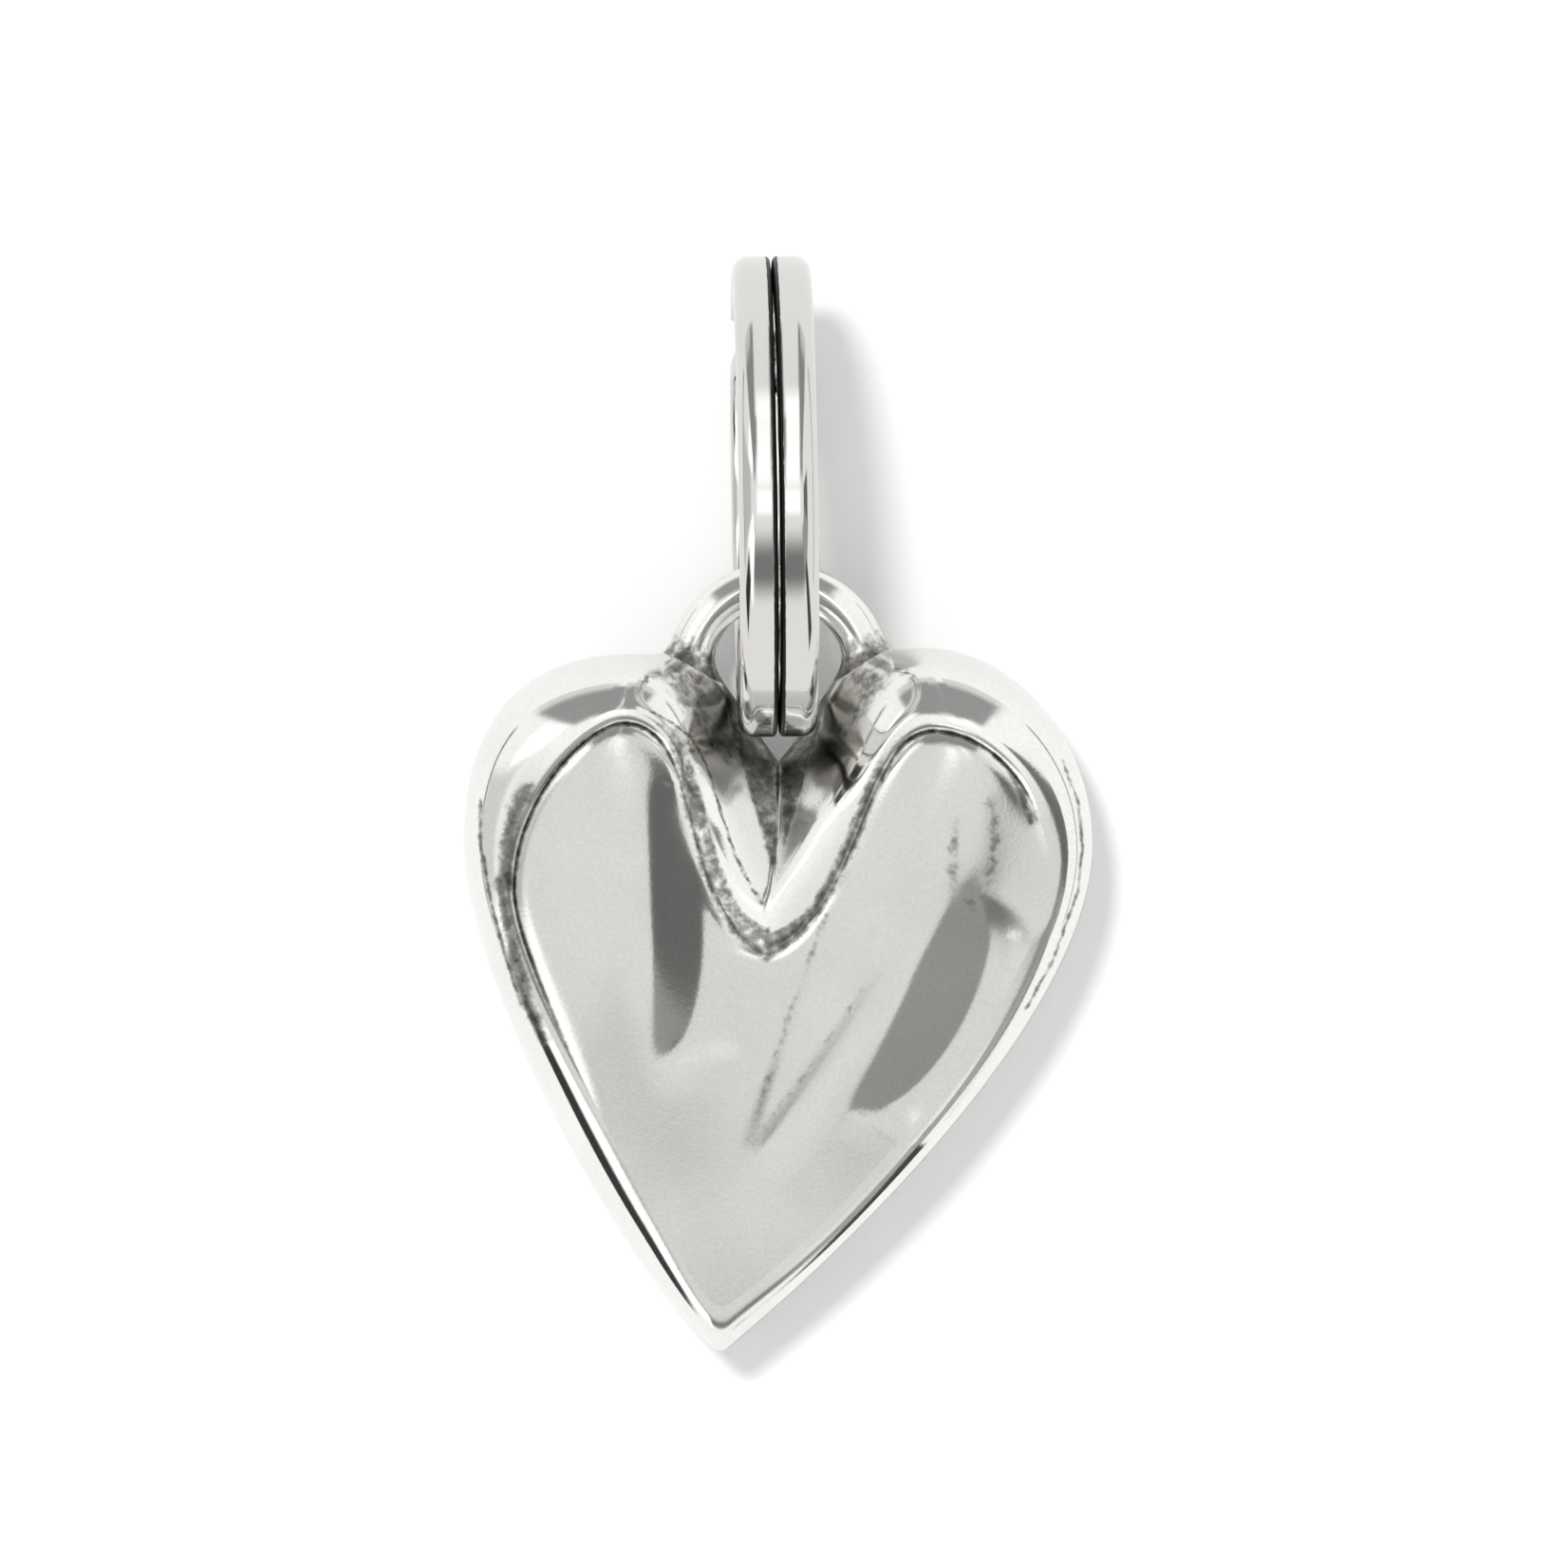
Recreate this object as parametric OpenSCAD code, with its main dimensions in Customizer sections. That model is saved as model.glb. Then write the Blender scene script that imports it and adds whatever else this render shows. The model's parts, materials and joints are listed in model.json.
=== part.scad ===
// Heart charm: a cast heart with its ear, and a split ring of two turns linked through the ear.
// It lies on its back as on a table, with the ring standing on edge and leaning on the ear.
// X runs across the heart, Y from the heart's point to the ring, Z up from the table.

/* [Heart outline] */
// Width to the left of the cleft
left_w = 7.9; // [7.2:0.1:8.6]
// Width to the right of the cleft
right_w = 7.9; // [7.2:0.1:8.6]
// Rise of the left lobe above the bottom of the cleft
left_rise = 2.7; // [2.4:0.1:3.2]
// Rise of the right lobe above the bottom of the cleft
right_rise = 2.85; // [2.4:0.05:3.2]
// Drop from the bottom of the cleft to the point
point_drop = 14.9; // [13.4:0.1:16.6]
// How far the point lies to the left of the cleft
point_side = 1.45; // [0:0.05:2.2]
// Length of each side that the point's rounding takes
point_round = 0.35; // [0.2:0.05:0.6]

/* [Heart section] */
// Height of the heart's edge line above the table
edge_h = 2.7; // [2.5:0.05:2.9]
// Height of the front above the edge line
front_h = 2.7; // [2.4:0.05:3]
// How much lower the front lies at the point
front_fall = 0.9; // [0:0.1:1.4]
// How far the back lifts off the table at the point
back_lift = 0.9; // [0:0.1:1.3]
// Height of the swell along each lobe
swell_h = 0.26; // [0:0.02:0.4]
// Slope of the folds in the front
fold_slope = 0.17; // [0:0.01:0.25]
// Width of the roll over the left lobe's top
left_roll = 1.75; // [1.4:0.05:2.2]
// Width of the roll over the right lobe's top
right_roll = 2.1; // [1.6:0.05:2.4]
// Width of the roll along the left side
left_side_roll = 1.35; // [1:0.05:1.5]
// Width of the roll along the right side
right_side_roll = 1.1; // [0.8:0.05:1.4]
// Length of the roll at the point
point_roll = 1.15; // [0.9:0.05:1.6]
// Depth of the crease round the front
crease_d = 0.2; // [0:0.02:0.3]
// Reach of the crease to each side
crease_w = 0.3; // [0.2:0.05:0.6]

/* [Valley below the cleft] */
// How far below the cleft the crease turns round
valley_l = 4.8; // [4.2:0.1:5.4]
// How far below the cleft the valley's crowns meet
valley_foot = 3.8; // [3.4:0.1:4.2]
// Half width between the crowns for each millimetre above that
valley_spread = 0.51; // [0.4:0.01:0.56]
// Slope of the valley's walls at the cleft
valley_slope = 0.86; // [0.6:0.02:0.9]
// Slope of the valley's walls at its foot
foot_slope = 0.5; // [0.3:0.02:0.6]
// How far the valley's bottom bends to the left
valley_bend = 0.35; // [0:0.05:0.5]
// Width of the roll at the bottom of the cleft
valley_roll = 1.3; // [1:0.1:1.6]

/* [Ear] */
// Diameter of the ear's wire
ear_wire = 1.1; // [0.9:0.05:1.2]
// Inner diameter of the ear
ear_bore = 3.36; // [3.2:0.02:3.8]
// Height of the ear's centre above the bottom of the cleft
ear_rise = 2.24; // [2.1:0.02:2.5]
// Angle by which each foot of the ear wraps into its lobe
ear_wrap = 30; // [20:5:40]

/* [Split ring] */
// Outer diameter of the ring
ring_od = 12; // [11.6:0.2:14]
// Thickness of the wire, from the ring's bore outwards
coil_t = 1.1; // [0.9:0.05:1.2]
// Width of one turn
coil_w = 0.95; // [0.8:0.01:1]
// Gap between the two turns
coil_gap = 0.06; // [0.04:0.01:0.12]
// Radius of each turn's outer corner, away from the groove
corner_r = 0.42; // [0.2:0.02:0.46]
// Radius of each turn's outer corner, beside the groove
groove_r = 0.14; // [0.05:0.01:0.25]
// Chamfer along the bore
bore_chamfer = 0.1; // [0.05:0.01:0.2]
// Angle over which the wire crosses from one turn to the other
jog_angle = 26; // [18:1:40]
// Angle between each end of the wire and the crossing
end_gap = 3; // [2:0.5:6]
// Place of the crossing on the ring, from the end away from the heart
jog_at = -42; // [-70:1:-20]
// Sideways lean of the ring
ring_lean = 1.1; // [0:0.1:3]
// Turn of the ring about the vertical
ring_yaw = 0.9; // [0:0.1:2]
// How far the ring has slid to the left on the ear
ring_side = 0.1; // [0:0.02:0.2]
// Clearance between the ring's bore and the ear
link_gap = 0.06; // [0.04:0.01:0.15]

/* [Hidden] */

// Steps of the mesh: along each stretch of a side, round the point, and across the roll and the face in front and
// at the back
top_steps = 18;
lobe_steps = 13;
side_steps = 18;
point_steps = 4;
roll_steps = 13;
face_steps = 14;
back_roll_steps = 8;
back_face_steps = 6;
turn_step = 5;
jog_step = 2.6;
corner_steps = 3;

// Where each side starts, tops out and is widest, measured from the bottom of the cleft
left_top = [-3.63, left_rise];
right_top = [3.72, right_rise];
left_wide = [-left_w, -2];
right_wide = [right_w, -2.13];
cleft = [0, 0];
point = [-point_side, -point_drop];

// The same places on the crease that bounds the front
valley_end = [-0.3, -valley_l];
left_crease = [-3.85, left_rise - left_roll];
right_crease = [3.85, right_rise - right_roll];
left_inner = [left_side_roll - left_w, -2.2];
right_inner = [right_w - right_side_roll, -2.6];
inner_point = [-point_side, point_roll - point_drop];

// Direction of each side as it leaves the cleft and as it comes to the point, in degrees off the vertical
left_turns = [37, 46];
right_turns = [42, 50];
left_crease_turns = [69, 45];
right_crease_turns = [72, 54];

// Lengths of the curves' handles, as shares of the stretch that each one bends
left_pull = [0.37, 0.46, 0.7, 0.61, 0.25, 0.3];
right_pull = [0.39, 0.49, 0.5, 0.56, 0.32, 0.35];
left_crease_pull = [0.36, 0.31, 0.31, 0.45, 0.19, 0.17];
right_crease_pull = [0.36, 0.25, 0.63, 0.32, 0.29, 0.3];

// Where the face's mesh draws together, as shares of the point's place
face_centre = [0.2 * point[0], 0.74 * point[1]];

// Axis of the swell along each lobe, and how wide it is
left_axis = [[-4.3, -1], [-2.3, -10.5]];
right_axis = [[4.4, -1.2], [1.2, -10.5]];
swell_w = 1.9;

// Folds of the front: where each one starts and ends, its width, its share of the slope, how far the face takes to
// come back to its height, and the share of its length over which it fades at each end
folds = [
    [[-3.136, -0.546], [-3.136, -7.579], 1.15, 1, 3.2, 0.3],
    [[5.085, -3.255], [1.616, -8.482], 1, 1, 1.5, 0.5],
    [[1.188, -3.255], [-0.879, -9.789], 0.14, 0.8, 1.6, 0.3]
];
fold_blur = 0.1;

// Power of the roll's curve over the lobes, near an ellipse, and along the sides, a squarer shoulder
top_power = 2.3;
side_power = 3.2;
// Rounding of the crowns beside the valley
crown_blur = 0.2;

ear_r = (ear_bore + ear_wire) / 2;
ring_r = ring_od / 2;
bore_r = ring_r - coil_t;
ring_w = 2 * coil_w + coil_gap;
reach = ring_w + 2 * ring_side;

// The ear's arch drops over the ring's width, so the ring swings about the middle of that drop
ear_sag = (ear_bore / 2 - sqrt(ear_bore * ear_bore - reach * reach) / 2) / 2;
// A ring that leans or is turned reaches the ear with one edge of its bore first
tilt_gap = reach / 2 * (sin(ring_lean) + sin(ring_yaw));
swing_r = bore_r - ear_wire / 2 - ear_sag - tilt_gap - link_gap;
swing_y = ear_rise + ear_r - ear_sag;
ring_z = ring_r * cos(ring_lean) + ring_w / 2 * sin(ring_lean);
ring_y = swing_y + sqrt(swing_r * swing_r - (ring_z - edge_h) * (ring_z - edge_h));

function mix(a, b, t) = a + (b - a) * t;
function clamp01(t) = min(1, max(0, t));
function ease(t) = let(c = clamp01(t)) c * c * (3 - 2 * c);
function flat(lists) = [for (list = lists) each list];
function cubic(p, t) =
    pow(1 - t, 3) * p[0] + 3 * pow(1 - t, 2) * t * p[1] + 3 * (1 - t) * t * t * p[2] + pow(t, 3) * p[3];
function cubic_points(p, steps) = [for (k = [0:steps - 1]) cubic(p, k / steps)];

// Direction in which a side comes to the point
function arrival(sign, turn) = [-sign * sin(turn), -cos(turn)];

// One side of the outline or of the crease, from the cleft to the start of the point's rounding
function side_points(sign, start, top, wide, end, turns, pull) =
    let(
        span = norm(top - start),
        over = [sign, 0],
        down = [0, -1],
        last = end - point_round * arrival(sign, turns[1]),
        reach = wide[1] - last[1]
    )
    flat([
        cubic_points([
            start,
            start + pull[0] * span * [sign * sin(turns[0]), cos(turns[0])],
            top - pull[1] * span * over,
            top
        ], top_steps),
        cubic_points([
            top,
            top + pull[2] * abs(wide[0] - top[0]) * over,
            wide - pull[3] * abs(wide[1] - top[1]) * down,
            wide
        ], lobe_steps),
        cubic_points([
            wide,
            wide + pull[4] * reach * down,
            last - pull[5] * reach * arrival(sign, turns[1]),
            last
        ], side_steps)
    ]);

// The rounded point between the two sides
function point_points(end, left_turn, right_turn) =
    let(
        a = end - point_round * arrival(-1, left_turn),
        b = end - point_round * arrival(1, right_turn)
    )
    [for (k = [0:point_steps]) let(t = k / point_steps)
        pow(1 - t, 2) * a + 2 * t * (1 - t) * end + t * t * b];

// A side run back from the point to the cleft, without the cleft itself, which the other side starts at
function run_back(list) = [for (k = [len(list) - 1:-1:1]) list[k]];

outline = flat([
    side_points(-1, cleft, left_top, left_wide, point, left_turns, left_pull),
    point_points(point, left_turns[1], right_turns[1]),
    run_back(side_points(1, cleft, right_top, right_wide, point, right_turns, right_pull))
]);
crease = flat([
    side_points(-1, valley_end, left_crease, left_inner, inner_point, left_crease_turns, left_crease_pull),
    point_points(inner_point, left_crease_turns[1], right_crease_turns[1]),
    run_back(side_points(1, valley_end, right_crease, right_inner, inner_point, right_crease_turns,
        right_crease_pull))
]);
around = len(outline);

// Moves the part so that the middle of its box is over the origin
centre_x = (right_w - left_w) / 2;
centre_y = (ring_y + ring_r + min([for (p = outline) p[1]])) / 2;

// How far along its side each place is: 0 at the cleft, 1 at the lobe's top, 2 at the widest place, 3 at the point
function station(i) =
    let(k = min(i, around - i))
    min(3, min(k, top_steps) / top_steps + max(0, min(k - top_steps, lobe_steps)) / lobe_steps
        + max(0, k - top_steps - lobe_steps) / side_steps);
// How far the roll follows the sides: 0 in the valley and 1 from the lobe's top on
function roundness(i) = ease(1.15 * min(1, station(i)));
function roll_power(i) =
    mix(mix(2, top_power, roundness(i)), side_power, ease((station(i) - 1.1) / 0.8));
// How deep the crease is at each place: it fades out along the sides, sooner on the right
function crease_share(i) =
    i < around / 2 ? 1 - ease((station(i) - 2.1) / 0.5) : 1 - ease((station(i) - 1.45) / 0.35);

// Distance of a place from a closed line
function from_segment(p, a, d) =
    let(t = clamp01((p - a) * d / max(1e-9, d * d)))
    norm(p - a - t * d);
function distance(p, line) =
    min([for (i = [0:len(line) - 1]) from_segment(p, line[i], line[(i + 1) % len(line)] - line[i])]);

function along(p, axis) = (p - axis[0]) * (axis[1] - axis[0]) / pow(norm(axis[1] - axis[0]), 2);
function off_axis(p, axis) = norm(p - mix(axis[0], axis[1], along(p, axis)));
function swell(p, axis) =
    let(s = along(p, axis))
    exp(-pow(off_axis(p, axis) / swell_w, 2)) * ease((s + 0.2) / 0.3) * ease((1.1 - s) / 0.7);

// 0 below x = 0, rising at slope 1 from there, with the bend rounded over the blur
function soft_rise(x, blur) = x > 30 * blur ? x : blur * ln(1 + exp(x / blur));

// One fold: the face falls across it and comes back beyond it
function fold_height(p, fold) =
    let(
        l = norm(fold[1] - fold[0]),
        dir = (fold[1] - fold[0]) / l,
        u = (p - fold[0]) * dir / l,
        d = (p - fold[0]) * [-dir[1], dir[0]],
        w = fold[2] * sqrt(max(0.02, min(1, 4 * u * (1 - u)))),
        share = ease((u + fold[5] / 2) / fold[5]) * ease((1 + fold[5] / 2 - u) / fold[5]),
        fall = soft_rise(d, fold_blur) - soft_rise(d - w, fold_blur)
    )
    -fold_slope * fold[3] * share * (fall - w * ease((d - w) / fold[4]));

// Height of the front face above the edge line
function front_face(p) =
    front_h - front_fall * pow(max(0, -p[1]) / point_drop, 2)
    + swell_h * (swell(p, left_axis) + swell(p, right_axis))
    + fold_height(p, folds[0]) + fold_height(p, folds[1]) + fold_height(p, folds[2]);
// Depth of the back face below the edge line
function back_face(p) = edge_h - back_lift * pow(clamp01(-p[1] / point_drop * 2 - 1), 2);

// Depth of the V-shaped valley below the front: it closes at its foot and opens towards the lobes
function valley(p) =
    let(
        bottom = -valley_bend * pow(clamp01(-p[1] / valley_foot), 3),
        half = valley_spread * (valley_foot + p[1]),
        slope = mix(foot_slope, valley_slope, ease(1 + p[1] / valley_foot))
    )
    slope * soft_rise(half - abs(p[0] - bottom), crown_blur);

// The roll's rise, from the outline at u = 0 to the full height at u = 1
function roll_rise(i, u) = pow(1 - pow(1 - u, roll_power(i)), 1 / roll_power(i));
function crease_dip(i, p) =
    crease_share(i) == 0 ? 0 : crease_d * crease_share(i) * exp(-distance(p, crease) / crease_w);

// How far through its roll a place is: in the valley this goes by its distance from the outline
function roll_share(i, p, t) =
    let(r = roundness(i))
    t == 1 ? 1
    : r == 1 ? t
    : mix(min(1, distance(p, outline) / mix(valley_roll, norm(crease[i] - outline[i]), r)), t, r);

function front_roll(k) =
    let(t = 0.5 - 0.5 * cos(180 * k / roll_steps))
    [for (i = [0:around - 1])
        let(
            p = mix(outline[i], crease[i], t),
            rise = roll_rise(i, roll_share(i, p, t))
        )
        [p[0], p[1], edge_h + (front_face(crease[i]) - valley(p) - crease_dip(i, p)) * rise]];
function front_ring(k) =
    let(t = pow(k / face_steps, 1.25))
    [for (i = [0:around - 1])
        let(p = mix(crease[i], face_centre, t))
        [p[0], p[1], edge_h + front_face(p) - valley(p) - crease_dip(i, p)]];
function back_roll(k) =
    let(t = 1 - cos(90 * k / back_roll_steps))
    [for (i = [0:around - 1])
        let(
            p = mix(outline[i], crease[i], t),
            fall = mix(1 - pow(1 - t, 1.3), sqrt(1 - pow(1 - t, 2)), roundness(i))
        )
        [p[0], p[1], edge_h - back_face(crease[i]) * fall]];
function back_ring(k) =
    let(t = pow(k / back_face_steps, 1.25))
    [for (i = [0:around - 1])
        let(p = mix(crease[i], face_centre, t))
        [p[0], p[1], edge_h - back_face(p)]];

// Triangles between ring a and ring b of points, each with n points, as seen from outside
function band(a, b, n) = flat([
    for (i = [0:n - 1]) let(j = (i + 1) % n) [
        [a * n + i, b * n + i, b * n + j],
        [a * n + i, b * n + j, a * n + j]
    ]
]);

module heart_body() {
    front_rings = [
        for (k = [1:roll_steps]) front_roll(k),
        for (k = [1:face_steps - 1]) front_ring(k)
    ];
    back_rings = [
        for (k = [1:back_roll_steps]) back_roll(k),
        for (k = [1:back_face_steps - 1]) back_ring(k)
    ];
    rings = [[for (p = outline) [p[0], p[1], edge_h]], each front_rings, each back_rings];
    deep = len(front_rings);
    last = len(rings) - 1;
    front_pole = around * len(rings);
    points = [
        each flat(rings),
        [face_centre[0], face_centre[1], edge_h + front_face(face_centre)],
        [face_centre[0], face_centre[1], edge_h - back_face(face_centre)]
    ];
    front = [for (k = [0:deep - 1]) each band(k, k + 1, around)];
    back = [
        each band(deep + 1, 0, around),
        for (k = [deep + 1:last - 1]) each band(k + 1, k, around)
    ];
    caps = flat([for (i = [0:around - 1]) let(j = (i + 1) % around) [
        [front_pole, deep * around + j, deep * around + i],
        [front_pole + 1, last * around + i, last * around + j]
    ]]);
    polyhedron(points = points, faces = [each front, each back, each caps]);
}

module ear() {
    translate([0, ear_rise, edge_h])
        rotate([0, 0, -ear_wrap])
        rotate_extrude(angle = 180 + 2 * ear_wrap, $fn = 96)
        translate([ear_r, 0])
        circle(d = ear_wire, $fn = 48);
}

module heart() {
    color("silver")
        translate([-centre_x, -centre_y, 0])
        union() {
            heart_body();
            ear();
        }
}

// The wire's section: x across the ring and y outwards, with the rounder corner on the left at 0 and on the right at 1
function wire_section(s) =
    let(
        x = coil_w / 2,
        y = coil_t,
        left = mix(corner_r, groove_r, s),
        right = mix(groove_r, corner_r, s)
    )
    [
        [bore_chamfer - x, 0],
        [x - bore_chamfer, 0],
        [x, bore_chamfer],
        for (k = [0:corner_steps]) let(a = 90 * k / corner_steps)
            [x - right + right * cos(a), y - right + right * sin(a)],
        for (k = [0:corner_steps]) let(a = 90 + 90 * k / corner_steps)
            [left - x + left * cos(a), y - left + left * sin(a)],
        [-x, bore_chamfer]
    ];

// Stations along the wire, as angles from the middle of the crossing
jog_end = jog_angle / 2;
wire_end = 360 - jog_end - end_gap;
jog_stations = round(jog_angle / jog_step);
turn_stations = round((wire_end - jog_end) / turn_step);
stations = [
    for (k = [0:turn_stations - 1]) mix(-wire_end, -jog_end, k / turn_stations),
    for (k = [0:jog_stations - 1]) mix(-jog_end, jog_end, k / jog_stations),
    for (k = [0:turn_stations]) mix(jog_end, wire_end, k / turn_stations)
];

function wire_ring(angle) =
    let(
        s = ease((angle + jog_end) / jog_angle),
        shift = mix(-1, 1, s) * (coil_w + coil_gap) / 2,
        a = angle + jog_at
    )
    [for (p = wire_section(s))
        let(r = bore_r + p[1])
        [p[0] + shift, r * cos(a), r * sin(a)]];

module split_ring() {
    sections = [for (a = stations) wire_ring(a)];
    n = len(sections[0]);
    last = len(sections) - 1;
    color("gainsboro")
        translate([-centre_x - ring_side, ring_y - centre_y, ring_z])
        rotate([0, ring_lean, ring_yaw])
        polyhedron(
            points = flat(sections),
            faces = [
                [for (i = [0:n - 1]) i],
                for (k = [0:last - 1]) each band(k, k + 1, n),
                [for (i = [n - 1:-1:0]) last * n + i]
            ]
        );
}

heart();
split_ring();
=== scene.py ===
"""Looks of the heart charm: the cast heart with its ear, the split ring, and the light tent they lie in."""
import json
import math

import bpy
import numpy as np
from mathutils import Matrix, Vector
from mathutils.bvhtree import BVHTree


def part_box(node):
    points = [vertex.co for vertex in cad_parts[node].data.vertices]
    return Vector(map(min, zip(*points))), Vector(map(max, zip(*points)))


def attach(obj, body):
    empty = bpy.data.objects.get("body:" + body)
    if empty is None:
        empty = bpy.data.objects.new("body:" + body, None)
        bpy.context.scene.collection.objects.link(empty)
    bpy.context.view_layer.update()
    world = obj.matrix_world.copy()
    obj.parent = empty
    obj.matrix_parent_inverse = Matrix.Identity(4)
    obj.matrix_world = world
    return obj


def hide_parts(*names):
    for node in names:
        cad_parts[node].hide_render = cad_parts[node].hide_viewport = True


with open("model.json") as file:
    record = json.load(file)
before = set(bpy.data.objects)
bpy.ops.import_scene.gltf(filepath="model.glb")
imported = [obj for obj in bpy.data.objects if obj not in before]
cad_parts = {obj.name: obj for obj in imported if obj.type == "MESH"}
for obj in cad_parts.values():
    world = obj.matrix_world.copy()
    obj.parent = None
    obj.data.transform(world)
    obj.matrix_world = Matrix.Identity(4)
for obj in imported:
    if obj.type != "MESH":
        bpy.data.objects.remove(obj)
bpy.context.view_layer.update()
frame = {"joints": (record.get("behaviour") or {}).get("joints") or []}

MM = 0.001

# The photograph: its side in pixels, the place of the frame's origin in it, and the size of a pixel
PHOTO_SIDE = 1652
ORIGIN_PX = (820.0, 847.9)
PIXEL = 0.02376 * MM

# Camera: its height above the table, the height of the level whose scale the pixels give, the nearest that it
# sees, and the width of its film in millimetres
CAMERA_HEIGHT = 500 * MM
FOCUS_HEIGHT = 4.4 * MM
NEAREST = 10 * MM
FILM_W = 36

# Finishes, as they look under white light
TONED_SILVER = "#D6D5D1"
BUFFED_SILVER = "#F6F5F2"
WIRE_SILVER = "#DCDBD8"
# The oxide and tarnish tones also paint shade along the heart's valley, round the ring's lower end and between
# the ring's turns, and dark reflections in the heart's strokes
OXIDE_AND_SHADE = "#2E2C2A"
TARNISH_AND_SHADE = "#8C8A85"
PAPER_WHITE = "#FFFFFF"

# Patterns of the finishes in millimetres: blotches of oxide on the casting and on the wire, clouds left by
# the buffing wheel, and the casting's pits, drawn coarser than they are so that they show, with their depth
CAST_BLOTCH = 0.26
WIRE_BLOTCH = 0.3
BUFF_CLOUD = 2.4
CAST_PIT = 0.09
PIT_DEPTH = 0.004

# How much the blotches break up the oxide and the painted shade and reflections, and the recess values from
# which and up to which they come in
BLOTCH_SHARE = 0.9
THIN_OXIDE_AND_SHADE = (0.22, 0.6)
THICK_OXIDE_AND_SHADE = (0.5, 0.95)
WIRE_OXIDE_AND_SHADE = (0.3, 0.8)

# Roughness of the clean wire, and what full oxide adds to the casting and to the wire
WIRE_ROUGH = 0.09
CAST_OXIDE_ROUGH = 0.32
WIRE_OXIDE_ROUGH = 0.35

# Heart outline in millimetres from the bottom of the cleft. Each side starts, tops out and is widest at a
# place, leaves and arrives at angles off the vertical, and has its curves' handles as shares of each stretch
LEFT_SIDE = dict(sign=-1, start=(0, 0), top=(-3.63, 2.7), wide=(-7.9, -2), turns=(37, 46),
                 pull=(0.37, 0.46, 0.7, 0.61, 0.25, 0.3))
RIGHT_SIDE = dict(sign=1, start=(0, 0), top=(3.72, 2.85), wide=(7.9, -2.13), turns=(42, 50),
                  pull=(0.39, 0.49, 0.5, 0.56, 0.32, 0.35))
POINT = (-1.45, -14.9)
POINT_ROUND = 0.35

# The crease that bounds the front, in the same way
LEFT_CREASE = dict(sign=-1, start=(-0.3, -4.8), top=(-3.85, 0.95), wide=(-6.6, -3.2), turns=(69, 45),
                   pull=(0.36, 0.31, 0.31, 0.55, 0.2, 0.12))
RIGHT_CREASE = dict(sign=1, start=(-0.3, -4.8), top=(3.85, 0.75), wide=(6.8, -2.6), turns=(72, 54),
                    pull=(0.36, 0.25, 0.63, 0.32, 0.29, 0.3))
INNER_POINT = (-1.45, -13.75)

# Heart section in millimetres: the level of its widest line, the front's height over it, how much lower the
# front is at the point, how much the lower half of the back rises to there, and the middle of both faces
EDGE_H = 2.7
FRONT_H = 2.7
FRONT_FALL = 0.9
BACK_LIFT = 0.9
FACE_CENTRE = (0.2 * POINT[0], 0.74 * POINT[1])

# The soft swell of each lobe: its height, its reach to each side, its axis, and where along the axis it
# starts and ends, each with the share over which it does
SWELL_H = 0.26
SWELL_W = 1.9
LEFT_AXIS = ((-4.3, -1.0), (-2.3, -10.5))
RIGHT_AXIS = ((4.4, -1.2), (1.2, -10.5))
SWELL_START = (-0.5, 0.3)
SWELL_END = (1.1, 0.7)

# The crease: its depth and the reach of its flanks
CREASE_D = 0.12
CREASE_W = 0.14

# Powers of the roll's curve: over the lobes, along the sides, what the lower left and the lower right side
# add, and the back's in the valley
TOP_POWER = 2.3
SIDE_POWER = 3.2
LOW_POWERS = (-0.7, 1.3)
BACK_POWER = 1.3

# Changes along a side, by station, which is 0 at the cleft, 1 at the lobe's top, 2 at the widest place and
# 3 at the point: where each one starts or ends, and over how much. The crease's fading has both for the left
# and for the right
VALLEY_ENDS = (1.0, 0.4)
ROLL_SQUARES = (1.1, 0.8)
LOW_STARTS = (2.1, 0.4)
LOW_ENDS = (2.98, 0.25)
CREASE_FADES = (2.1, 1.45)
CREASE_FADE_OVER = (0.5, 0.35)
# How fast the roll gets round from the cleft on
ROUND_RATE = 1.15

# Valley in millimetres: how far below the cleft its crowns meet, how far its bottom bends to the left by
# there, its half width for each millimetre of length, the slope of its walls at the cleft and at the foot,
# the rounding of its crowns, and the width of the roll at its upper end
VALLEY_FOOT = 3.8
VALLEY_BEND = -0.35
VALLEY_SPREAD = 0.51
VALLEY_SLOPE = 0.86
FOOT_SLOPE = 0.5
CROWN_BLUR = 0.26
VALLEY_ROLL = 1.3
# The bulge of its left wall, the height over the foot in which it grows, the height at which it ends,
# and the least height that counts
LEFT_BULGE = 0.7
BULGE_GROWTH = 0.8
BULGE_END = 4.3
LEAST_UP = 0.01
# The crowns' ridge: its height, the reach of its flanks, and how far below the cleft it is full
RIDGE_H = 0.12
RIDGE_W = 0.38
RIDGE_FULL = 1.5

# The folds of the front, from the bottom of the cleft: where each one starts and ends, its width, how
# steeply it falls, how far it takes to come back, and the share of its length over which it fades at each end
FOLDS = (
    dict(top=(-3.136, -0.446), tip=(-3.136, -7.679), width=1.15, slope=0.19, recovery=3.2, taper=0.24),
    dict(top=(4.7, -3.0), tip=(1.616, -8.682), width=1.5, slope=0.18, recovery=1.9, taper=0.26),
    dict(top=(1.55, -2.6), tip=(-0.85, -9.75), width=0.13, slope=0.4, recovery=1.6, taper=0.2),
    dict(top=(2.8, -4.8), tip=(-0.75, -10.0), width=0.13, slope=0.52, recovery=1.2, taper=0.2),
)
# The rounding of their bends, and the least share of the squared width at their ends
FOLD_BLUR = 0.1
LEAST_LEAF = 0.02
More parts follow.
